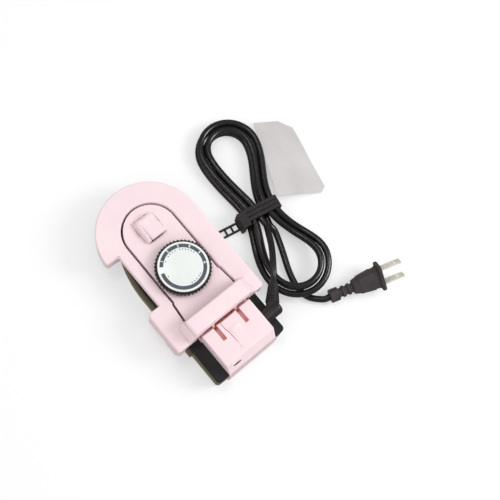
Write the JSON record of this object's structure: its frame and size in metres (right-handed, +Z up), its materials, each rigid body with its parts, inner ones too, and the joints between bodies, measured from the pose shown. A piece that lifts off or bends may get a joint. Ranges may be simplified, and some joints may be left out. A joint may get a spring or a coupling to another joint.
{
  "type": "travel iron",
  "caption": "Slim electric iron with a polished soleplate, a thermostat dial, a loop handle that folds flat, and a mains lead tied in a hank.",
  "frame": {"origin": "centre of the sole's underside, halfway from heel to tip, on the surface that the iron lies on", "axes": "+Y to the tip, +X to the side that the lead leaves, +Z up, away from the sole"},
  "size_m": [0.1938, 0.1923, 0.04],
  "materials": {
    "pink_plastic": "satin",
    "black_plastic": "satin",
    "polished_aluminium": "polished",
    "plain_steel": "satin",
    "contact_brass": "satin",
    "ceramic": "matte",
    "wire_sleeve": "matte",
    "lead_rubber": "satin",
    "tie_rubber": "matte",
    "tag_film": "satin",
    "plug_vinyl": "satin",
    "nickelled_brass": "polished",
    "rose_pad": "matte",
    "dial_black": "satin",
    "dial_disc": "satin"
  },
  "bodies": {
    "base": {"soleplate": "polished_aluminium", "heating_element": "plain_steel", "heater_beads": "ceramic", "thermostat_base": "plain_steel", "bimetal_strip": "contact_brass", "thermostat_stack": "ceramic", "thermal_fuse": "plain_steel", "fuse_clip": "plain_steel", "heat_skirt": "black_plastic", "sole_screws": "plain_steel", "body_cover": "pink_plastic", "rear_housing": "pink_plastic", "housing_screws": "plain_steel", "terminal_block": "ceramic", "terminal_screws": "contact_brass", "inner_wires": "wire_sleeve", "cord_clamp": "black_plastic", "hinge_pins": "plain_steel", "button_spring": "plain_steel", "latch_spring": "plain_steel", "cord_boot": "lead_rubber", "cord_lead": "lead_rubber", "cord_hank": "lead_rubber", "cord_tail": "lead_rubber", "cable_tie": "tie_rubber", "cord_tag": "tag_film", "plug_relief": "plug_vinyl", "plug_body": "plug_vinyl", "plug_blades": "nickelled_brass"},
    "handle": {"handle_frame": "pink_plastic", "handle_cover": "pink_plastic", "handle_screws": "plain_steel", "side_pad": "rose_pad"},
    "dial": {"dial_spindle": "plain_steel", "dial_ring": "dial_black", "dial_face": "dial_disc"},
    "button": {"release_button": "pink_plastic"},
    "latch": {"lock_latch": "pink_plastic"}
  },
  "joints": [
    {"name": "handle_fold", "type": "hinge", "parent": "base", "child": "handle", "pos_m": [0, -0.035, 0.035], "axis": [1, 0, 0], "range_deg": [0, 50]},
    {"name": "dial_turn", "type": "hinge", "parent": "base", "child": "dial", "pos_m": [0, 0.006, 0.03], "axis": [0, 0, 1], "range_deg": [0, 300]},
    {"name": "button_press", "type": "slide", "parent": "base", "child": "button", "axis": [0, 0, -1], "range_m": [0, 0.002], "stiffness_N_per_m": 400, "springref_m": -0.002, "deforming": ["button_spring"]},
    {"name": "latch_slide", "type": "slide", "parent": "base", "child": "latch", "axis": [0, -1, 0], "range_m": [0, 0.0015]}
  ]
}
